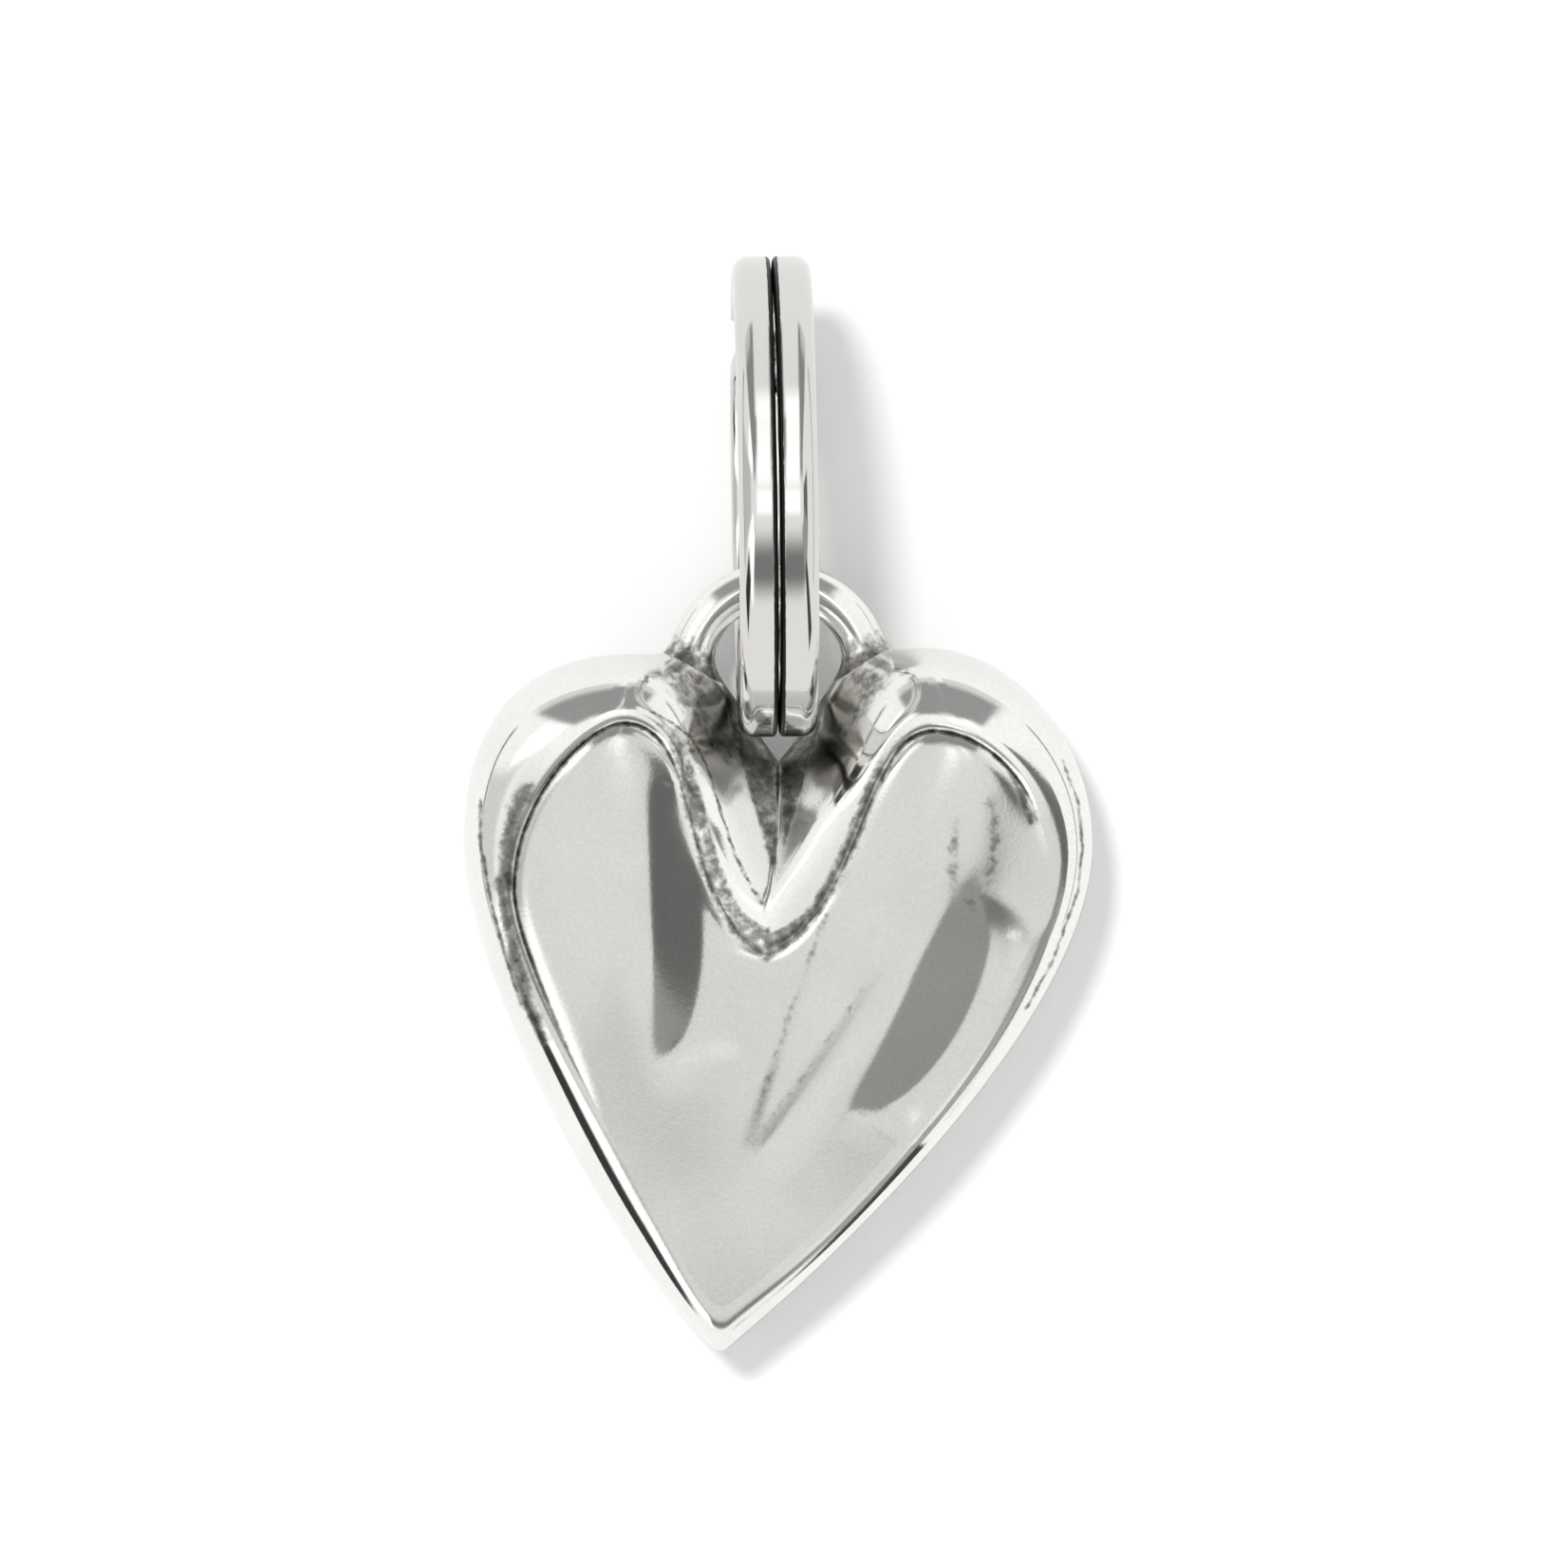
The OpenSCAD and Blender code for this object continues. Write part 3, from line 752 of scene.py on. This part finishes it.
def make_ear(material):
    """The ear: a round wire bent in an arc, whose feet widen and darken where they run into the lobes."""
    inputs = {
        "Centre": (0.0, (cleft_y + EAR_RISE) * MM, EDGE_H * MM),
        "Bend radius": (EAR_BORE + EAR_WIRE) / 2 * MM,
        "Wire radius": EAR_WIRE / 2 * MM,
        "Wrap": math.radians(EAR_WRAP),
        "Flare": EAR_FLARE,
        "Finish": material,
    }
    tree, given, out = node_group("bend_ear", inputs)
    sweep = node(tree, "ShaderNodeMath", {0: given.outputs["Wrap"], 1: 2.0, 2: math.pi},
                 operation="MULTIPLY_ADD").outputs[0]
    start = node(tree, "ShaderNodeMath", {0: given.outputs["Wrap"], 1: -1.0}, operation="MULTIPLY").outputs[0]
    arc = node(tree, "GeometryNodeCurveArc", {
        "Resolution": EAR_STEPS, "Radius": given.outputs["Bend radius"], "Start Angle": start,
        "Sweep Angle": sweep}, mode="RADIUS")
    place = node(tree, "GeometryNodeSplineParameter")
    middle = node(tree, "ShaderNodeMath", {0: place.outputs["Factor"], 1: -0.5}, operation="ADD")
    away = node(tree, "ShaderNodeMath", {0: middle.outputs[0]}, operation="ABSOLUTE").outputs[0]
    foot = node(tree, "ShaderNodeMapRange", {
        "Value": away, "From Min": FLARE_SPAN[0], "From Max": FLARE_SPAN[1]}, interpolation_type="SMOOTHSTEP")
    dark = node(tree, "ShaderNodeMapRange", {
        "Value": away, "From Min": DARK_SPAN[0], "From Max": DARK_SPAN[1], "To Max": EAR_OXIDE},
                interpolation_type="SMOOTHSTEP")
    darkened = node(tree, "GeometryNodeStoreNamedAttribute", {
        "Geometry": arc.outputs["Curve"], "Name": "oxide_and_shade", "Value": dark.outputs[0]}, domain="POINT")
    buffed = node(tree, "GeometryNodeStoreNamedAttribute", {
        "Geometry": darkened.outputs[0], "Name": "buff", "Value": 1.0}, domain="POINT")
    widen = node(tree, "ShaderNodeMath", {0: foot.outputs[0], 1: given.outputs["Flare"], 2: 1.0},
                 operation="MULTIPLY_ADD")
    section = node(tree, "GeometryNodeCurvePrimitiveCircle", {
        "Resolution": EAR_SIDES, "Radius": given.outputs["Wire radius"]})
    wire = node(tree, "GeometryNodeCurveToMesh", {
        "Curve": buffed.outputs[0], "Profile Curve": section.outputs["Curve"], "Scale": widen.outputs[0],
        "Fill Caps": True})
    placed = node(tree, "GeometryNodeTransform", {
        "Geometry": wire.outputs[0], "Translation": given.outputs["Centre"]})
    finish_group(tree, placed.outputs[0], given.outputs["Finish"], out)
    return run_group(new_mesh("ear_seed", [(0, 0, 0)], []), tree, inputs, "heart_ear")


def surface_of(made):
    """The surface of an object, for the nearest place on it, and the places and normals of its points."""
    mesh = made.data
    points = np.empty(3 * len(mesh.vertices))
    mesh.vertices.foreach_get("co", points)
    points = points.reshape(-1, 3)
    tree = BVHTree.FromPolygons(points.tolist(), [list(face.vertices) for face in mesh.polygons])
    return tree, points, np.array([vertex.normal for vertex in mesh.vertices])


def fillet(made, tree, points, normals):
    """Raises the points of an object near the ear's feet where another surface comes near, so that the two
    run into each other."""
    reach = FOOT_FILLET * MM
    raised = points.copy()
    near = off_foot(points / MM - (0, cleft_y, 0)) < FEET_REACH
    for i in np.flatnonzero(near):
        away = tree.find_nearest(Vector(points[i]), reach)[3]
        if away is not None:
            raised[i] += normals[i] * (reach - away) ** 2 / (4 * reach)
    made.data.vertices.foreach_set("co", raised.ravel())
    made.data.update()


# Split ring

def wire_sections():
    """The flat wire's section at the start and at the end of the crossing, each with the oxide and painted
    shade of its points, dark in the groove between the turns.
    x runs across the ring and y outwards from the bore, and the rounder corner changes sides."""
    half = COIL_W / 2
    corner = np.radians(np.linspace(0, 90, CORNER_STEPS + 1))
    shares = np.linspace(0, 1, SECTION_STEPS + 1)
    inner = shares[1:-1]
    found = []
    for left, right in ((CORNER_R, GROOVE_R), (GROOVE_R, CORNER_R)):
        bore = [(mix(BORE_CHAMFER - half, half - BORE_CHAMFER, t), 0) for t in shares]
        right_side = [(half, mix(BORE_CHAMFER, COIL_T - right, t)) for t in [0.0, *inner]]
        right_corner = [(half - right + right * math.cos(a), COIL_T - right + right * math.sin(a))
                        for a in corner]
        flat = [(mix(half - right, left - half, t), COIL_T) for t in inner]
        left_corner = [(left - half - left * math.sin(a), COIL_T - left + left * math.cos(a))
                       for a in corner]
        left_side = [(-half, mix(COIL_T - left, BORE_CHAMFER, t)) for t in [*inner, 1.0]]
        points = np.array(bore + right_side + right_corner + flat + left_corner + left_side)
        to_groove = (points[:, 0] * (1 if left > right else -1) - half + GROOVE_R) / GROOVE_R
        # Painted shade, with oxide, on the corner and side at the groove between the turns, clear of the bore
        found.append((points, ease(to_groove / GROOVE_EDGE) * ease(points[:, 1] / BORE_CLEAR)))
    return found


def make_wire():
    """The wire before it is wound: the same section in every row, which keeps its angle and both sections."""
    wire_end = 360 - JOG_ANGLE / 2 - END_GAP
    angles = np.radians(np.linspace(-wire_end, wire_end, WIRE_STEPS + 1))
    (near, near_oxide_and_shade), (far, far_oxide_and_shade) = wire_sections()
    n, rows = len(near), len(angles)
    turn = np.repeat(angles, n)
    near_section = np.column_stack([near, np.zeros(n)])
    far_section = np.column_stack([far, np.zeros(n)])
    i = np.arange(n)
    j = (i + 1) % n
    faces = [list(range(n)), list(range(rows * n - 1, (rows - 1) * n - 1, -1))]
    for k in range(rows - 1):
        faces += np.column_stack([k * n + i, (k + 1) * n + i, (k + 1) * n + j, k * n + j]).tolist()
    return new_mesh("wire_blank", np.column_stack([np.tile(near, (rows, 1)), turn]) * MM, faces, {
        "turn": turn,
        "near_section": np.tile(near_section, (rows, 1)) * MM,
        "far_section": np.tile(far_section, (rows, 1)) * MM,
        "near_oxide_and_shade": np.tile(near_oxide_and_shade, rows),
        "far_oxide_and_shade": np.tile(far_oxide_and_shade, rows),
    })


def ring_centre(lean, yaw):
    """The ring's centre in millimetres. It stands on the table, with its bore just clear of the ear."""
    ring_w = 2 * COIL_W + COIL_GAP
    reach = ring_w + 2 * RING_SIDE
    ear_sag = (EAR_BORE / 2 - math.sqrt(EAR_BORE ** 2 - reach ** 2) / 2) / 2
    tilt_gap = reach / 2 * (math.sin(lean) + math.sin(yaw))
    swing_r = RING_OD / 2 - COIL_T - EAR_WIRE / 2 - ear_sag - tilt_gap - LINK_GAP
    ring_z = RING_OD / 2 * math.cos(lean) + ring_w / 2 * math.sin(lean)
    pivot = [c / MM for c in frame["joints"][0]["pos_m"]]
    ring_y = pivot[1] + math.sqrt(swing_r ** 2 - (ring_z - pivot[2]) ** 2)
    return -RING_SIDE, ring_y, ring_z


def make_ring(material):
    """The split ring: a straight wire wound in two turns, which cross over once."""
    lean, yaw = math.radians(RING_LEAN), math.radians(RING_YAW)
    inputs = {
        "Centre": tuple(c * MM for c in ring_centre(lean, yaw)),
        "Lean": (0.0, lean, yaw),
        "Bore radius": (RING_OD / 2 - COIL_T) * MM,
        "Pitch": (COIL_W + COIL_GAP) * MM,
        "Crossing half angle": math.radians(JOG_ANGLE / 2),
        "Crossing place": math.radians(JOG_AT),
        "Finish": material,
    }
    tree, given, out = node_group("wind_ring", inputs)
    kept = {}
    for key, kind in (("turn", "FLOAT"), ("near_oxide_and_shade", "FLOAT"), ("far_oxide_and_shade", "FLOAT"),
                      ("near_section", "FLOAT_VECTOR"), ("far_section", "FLOAT_VECTOR")):
        kept[key] = node(tree, "GeometryNodeInputNamedAttribute", {"Name": key}, data_type=kind).outputs[0]
    before = node(tree, "ShaderNodeMath", {0: given.outputs["Crossing half angle"], 1: -1.0},
                  operation="MULTIPLY")
    crossed = node(tree, "ShaderNodeMapRange", {
        "Value": kept["turn"], "From Min": before.outputs[0],
        "From Max": given.outputs["Crossing half angle"]}, interpolation_type="SMOOTHSTEP").outputs[0]
    section = node(tree, "ShaderNodeMix", {
        0: crossed, 4: kept["near_section"], 5: kept["far_section"]}, data_type="VECTOR").outputs[1]
    # The groove's painted shade and oxide pass from one section to the other over the crossing
    oxide_and_shade = node(tree, "ShaderNodeMix", {
        0: crossed, 2: kept["near_oxide_and_shade"], 3: kept["far_oxide_and_shade"]}, data_type="FLOAT").outputs[0]
    across = node(tree, "ShaderNodeSeparateXYZ", {0: section})
    sideways = node(tree, "ShaderNodeMath", {0: crossed, 1: -0.5}, operation="ADD")
    x = node(tree, "ShaderNodeMath", {
        0: sideways.outputs[0], 1: given.outputs["Pitch"], 2: across.outputs["X"]}, operation="MULTIPLY_ADD")
    r = node(tree, "ShaderNodeMath", {0: given.outputs["Bore radius"], 1: across.outputs["Y"]},
             operation="ADD")
    angle = node(tree, "ShaderNodeMath", {0: kept["turn"], 1: given.outputs["Crossing place"]},
                 operation="ADD")
    parts = {"X": x.outputs[0]}
    for key, operation in (("Y", "COSINE"), ("Z", "SINE")):
        swept = node(tree, "ShaderNodeMath", {0: angle.outputs[0]}, operation=operation)
        parts[key] = node(tree, "ShaderNodeMath", {0: swept.outputs[0], 1: r.outputs[0]},
                          operation="MULTIPLY").outputs[0]
    place = node(tree, "ShaderNodeCombineXYZ", parts)
    shade_and_oxide_stored = node(tree, "GeometryNodeStoreNamedAttribute", {
        "Geometry": given.outputs["Geometry"], "Name": "oxide_and_shade", "Value": oxide_and_shade}, domain="POINT")
    wound = node(tree, "GeometryNodeSetPosition", {
        "Geometry": shade_and_oxide_stored.outputs[0], "Position": place.outputs[0]})
    leant = node(tree, "GeometryNodeTransform", {
        "Geometry": wound.outputs[0], "Translation": given.outputs["Centre"],
        "Rotation": given.outputs["Lean"]})
    finish_group(tree, leant.outputs[0], given.outputs["Finish"], out)
    return run_group(make_wire(), tree, inputs, "split_ring_wire")


# Finishes

def new_material(name):
    """A material, with its tree and its surface shader."""
    material = bpy.data.materials.new(name)
    material.use_nodes = True
    tree = material.node_tree
    return material, tree, tree.nodes["Principled BSDF"]


def oxide_mask(tree, recess, blotch, low, high):
    """Where oxide and painted shade are laid: the recess value broken up by the blotches, cut off softly from
    low to high.
    """
    broken = node(tree, "ShaderNodeMath", {0: blotch, 1: BLOTCH_SHARE, 2: -BLOTCH_SHARE / 2},
                  operation="MULTIPLY_ADD")
    total = node(tree, "ShaderNodeMath", {0: recess, 1: broken.outputs[0]}, operation="ADD")
    return node(tree, "ShaderNodeMapRange", {"Value": total.outputs[0], "From Min": low, "From Max": high},
                interpolation_type="SMOOTHSTEP").outputs[0]


def make_cast_silver():
    """Cast silver, tumbled, dipped in oxide and buffed: the wheel leaves the edges bright, nearly a mirror,
    the front keeps a softer, greyer skin with fine pits, and black stays in the creases. The same tones also
    paint shade along the valley's bottom and round the ring's lower end, and dark reflections along the folds
    and the sides."""
    material, tree, surface = new_material("cast_silver_oxidised_shaded_and_buffed")
    place = node(tree, "ShaderNodeTexCoord").outputs["Object"]
    buff = node(tree, "ShaderNodeAttribute", attribute_name="buff").outputs["Fac"]
    recess = node(tree, "ShaderNodeAttribute", attribute_name="oxide_and_shade").outputs["Fac"]
    blotch = node(tree, "ShaderNodeTexNoise", {
        "Vector": place, "Scale": 1 / (CAST_BLOTCH * MM), "Detail": 3.0, "Roughness": 0.6}).outputs["Fac"]
    cloud = node(tree, "ShaderNodeTexNoise", {
        "Vector": place, "Scale": 1 / (BUFF_CLOUD * MM), "Detail": 2.0}).outputs["Fac"]
    grain = node(tree, "ShaderNodeTexNoise", {
        "Vector": place, "Scale": 1 / (CAST_PIT * MM), "Detail": 2.0}).outputs["Fac"]

    tone = node(tree, "ShaderNodeMix", {0: buff, 6: linear(TONED_SILVER), 7: linear(BUFFED_SILVER)},
                data_type="RGBA").outputs[2]
    # Tarnish and black: oxide in the hollows, painted shade along the valley's bottom and round the ring's
    # lower end, and painted dark reflections in the strokes
    thin = oxide_mask(tree, recess, blotch, *THIN_OXIDE_AND_SHADE)
    thick = oxide_mask(tree, recess, blotch, *THICK_OXIDE_AND_SHADE)
    darkened = node(tree, "ShaderNodeMix", {0: thin, 6: tone, 7: linear(TARNISH_AND_SHADE)},
                     data_type="RGBA").outputs[2]
    blackened = node(tree, "ShaderNodeMix", {0: thick, 6: darkened, 7: linear(OXIDE_AND_SHADE)},
                    data_type="RGBA").outputs[2]
    shade = node(tree, "ShaderNodeMapRange", {
        "Value": cloud, "From Min": 0.3, "From Max": 0.7, "To Min": 0.96, "To Max": 1.03}).outputs[0]
    speck = node(tree, "ShaderNodeMapRange", {
        "Value": grain, "From Min": 0.35, "From Max": 0.75, "To Min": 0.97, "To Max": 1.05}).outputs[0]
    strength = node(tree, "ShaderNodeMath", {0: shade, 1: speck}, operation="MULTIPLY").outputs[0]
    colour = node(tree, "ShaderNodeVectorMath", {0: blackened, "Scale": strength},
                  operation="SCALE").outputs[0]
    tree.links.new(colour, surface.inputs["Base Color"])

    satin = node(tree, "ShaderNodeMapRange", {"Value": buff, "To Min": 0.13, "To Max": 0.09}).outputs[0]
    missed = node(tree, "ShaderNodeMath", {0: recess, 1: thick}, operation="MAXIMUM").outputs[0]
    rough = node(tree, "ShaderNodeMath", {0: missed, 1: CAST_OXIDE_ROUGH, 2: satin},
                 operation="MULTIPLY_ADD").outputs[0]
    tree.links.new(rough, surface.inputs["Roughness"])

    pits = node(tree, "ShaderNodeMapRange", {"Value": buff, "To Min": 0.35, "To Max": 0.12}).outputs[0]
    bump = node(tree, "ShaderNodeBump", {"Strength": pits, "Distance": PIT_DEPTH * MM, "Height": grain})
    tree.links.new(bump.outputs[0], surface.inputs["Normal"])
    surface.inputs["Metallic"].default_value = 1.0
    return material


def make_drawn_silver():
    """Flat silver wire, drawn, wound and polished: a clear mirror, with black between the turns, partly oxide
    where the polishing wheel can't reach and partly painted shade in the narrow groove."""
    material, tree, surface = new_material("drawn_silver_wire_polished")
    place = node(tree, "ShaderNodeTexCoord").outputs["Object"]
    recess = node(tree, "ShaderNodeAttribute", attribute_name="oxide_and_shade").outputs["Fac"]
    blotch = node(tree, "ShaderNodeTexNoise", {
        "Vector": place, "Scale": 1 / (WIRE_BLOTCH * MM), "Detail": 3.0}).outputs["Fac"]
    # Black between the turns: oxide, and painted shade in the narrow groove
    groove_shade_and_oxide = oxide_mask(tree, recess, blotch, *WIRE_OXIDE_AND_SHADE)
    colour = node(tree, "ShaderNodeMix", {0: groove_shade_and_oxide, 6: linear(WIRE_SILVER), 7: linear(OXIDE_AND_SHADE)},
                  data_type="RGBA")
    tree.links.new(colour.outputs[2], surface.inputs["Base Color"])
    rough = node(tree, "ShaderNodeMath", {0: groove_shade_and_oxide, 1: WIRE_OXIDE_ROUGH, 2: WIRE_ROUGH},
                 operation="MULTIPLY_ADD")
    tree.links.new(rough.outputs[0], surface.inputs["Roughness"])
    surface.inputs["Metallic"].default_value = 1.0
    return material


# Light tent

def make_card(distance, name, high, around, glow, fade, strip):
    """A panel of the light tent, seen only in the metal. It is part of a sphere: high is its reach in degrees
    off the vertical. around is its azimuth from +X, or for a strip its reach to each side of the upright plane
    through the ring, where high counts towards +Y. Its borders fade out over the degrees of fade, one for
    each reach."""
    a, b = np.meshgrid(np.linspace(*high, CARD_STEPS[0] + 1), np.linspace(*around, CARD_STEPS[1] + 1),
                       indexing="ij")
    inside = np.minimum(np.minimum(a - high[0], high[1] - a) / fade[0],
                        np.minimum(b - around[0], around[1] - b) / fade[1])
    a, b = np.radians(a), np.radians(b)
    if strip:
        points = np.stack([np.sin(b), np.cos(b) * np.sin(a), np.cos(b) * np.cos(a)], axis=-1)
    else:
        points = np.stack([np.sin(a) * np.cos(b), np.sin(a) * np.sin(b), np.cos(a)], axis=-1)
    n = a.shape[1]
    faces = [(k * n + i, k * n + i + 1, (k + 1) * n + i + 1, (k + 1) * n + i)
             for k in range(a.shape[0] - 1) for i in range(n - 1)]
    card = new_mesh(name, points.reshape(-1, 3) * distance * MM, faces, {"cover": ease(inside).ravel()})
    material, tree, surface = new_material(name + "_cloth")
    tree.nodes.remove(surface)
    cover = node(tree, "ShaderNodeAttribute", attribute_name="cover").outputs["Fac"]
    light = node(tree, "ShaderNodeEmission", {"Strength": glow})
    clear = node(tree, "ShaderNodeBsdfTransparent")
    cloth = node(tree, "ShaderNodeMixShader", {0: cover, 1: clear.outputs[0], 2: light.outputs[0]})
    tree.links.new(cloth.outputs[0], tree.nodes["Material Output"].inputs["Surface"])
    material.cycles.emission_sampling = "NONE"
    card.data.materials.append(material)
    card.visible_camera = False
    card.visible_diffuse = False
    card.visible_shadow = False
    card.visible_transmission = False


def make_floor():
    """White paper on the table, which looks a little brighter to the camera."""
    corners = [(-PAPER_HALF, -PAPER_HALF, 0), (PAPER_HALF, -PAPER_HALF, 0), (PAPER_HALF, PAPER_HALF, 0),
               (-PAPER_HALF, PAPER_HALF, 0)]
    floor = new_mesh("floor", corners, [(0, 1, 2, 3)])
    material, tree, surface = new_material("white_paper")
    surface.inputs["Base Color"].default_value = linear(PAPER_WHITE)
    surface.inputs["Roughness"].default_value = 1.0
    surface.inputs["Specular IOR Level"].default_value = 0.0
    path = node(tree, "ShaderNodeLightPath")
    lifted = node(tree, "ShaderNodeMath", {0: path.outputs["Is Camera Ray"], 1: PAPER_LIFT},
                  operation="MULTIPLY")
    surface.inputs["Emission Color"].default_value = linear(PAPER_WHITE)
    tree.links.new(lifted.outputs[0], surface.inputs["Emission Strength"])
    floor.data.materials.append(material)


def make_tent():
    """The tent's white cloth. The camera and the metal see it white, and it lights the rest more weakly."""
    world = bpy.data.worlds.new("tent")
    world.use_nodes = True
    bpy.context.scene.world = world
    tree = world.node_tree
    path = node(tree, "ShaderNodeLightPath")
    seen = node(tree, "ShaderNodeMath", {0: path.outputs["Is Camera Ray"], 1: path.outputs["Is Glossy Ray"]},
                operation="MAXIMUM")
    strength = node(tree, "ShaderNodeMapRange", {
        "Value": seen.outputs[0], "To Min": TENT_LIGHT, "To Max": 1.0})
    tree.links.new(strength.outputs[0], tree.nodes["Background"].inputs["Strength"])
    tree.nodes["Background"].inputs["Color"].default_value = linear(PAPER_WHITE)


def make_key_light():
    """The key light, high on the upper left, which casts the charm's shadow."""
    key = bpy.data.lights.new("key", "SUN")
    key.energy = KEY_LIGHT
    key.angle = math.radians(KEY_WIDTH)
    lamp = bpy.data.objects.new("key", key)
    lamp.rotation_mode = "QUATERNION"
    elevation = math.radians(KEY_ELEVATION)
    level = math.cos(elevation)
    toward_lamp = Vector((KEY_FROM[0] * level, KEY_FROM[1] * level, math.sin(elevation)))
    lamp.rotation_quaternion = toward_lamp.to_track_quat("Z", "Y")
    lamp.visible_glossy = False
    bpy.context.scene.collection.objects.link(lamp)


def make_studio():
    """A white table under a key light from the upper left, in a tent of white and grey panels."""
    make_floor()
    make_tent()
    make_key_light()
    for cards, (nearest, step) in ((CARDS, CARDS_AT), (CLOSE_CARDS, CLOSE_CARDS_AT)):
        for place, card in enumerate(cards):
            make_card(nearest + place * step, *card)


make_camera()
heart_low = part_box("heart")[0]
heart_outline = closed_outline(LEFT_SIDE, RIGHT_SIDE, POINT)
# The cleft's bottom lies where the CAD heart's point and the outline's lowest place meet
cleft_y = heart_low.y / MM - heart_outline[:, 1].min()

cast_silver = make_cast_silver()
drawn_silver = make_drawn_silver()

body = make_heart(heart_outline)
body.data.materials.append(cast_silver)
ear = make_ear(cast_silver)
body_surface = surface_of(body)
ear_surface = surface_of(ear)
fillet(body, ear_surface[0], *body_surface[1:])
fillet(ear, body_surface[0], *ear_surface[1:])
ring = make_ring(drawn_silver)

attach(body, "heart")
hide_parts("heart")
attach(ear, "heart")
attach(ring, "split_ring")
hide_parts("split_ring")

make_studio()

bpy.context.scene.view_settings.view_transform = "Standard"
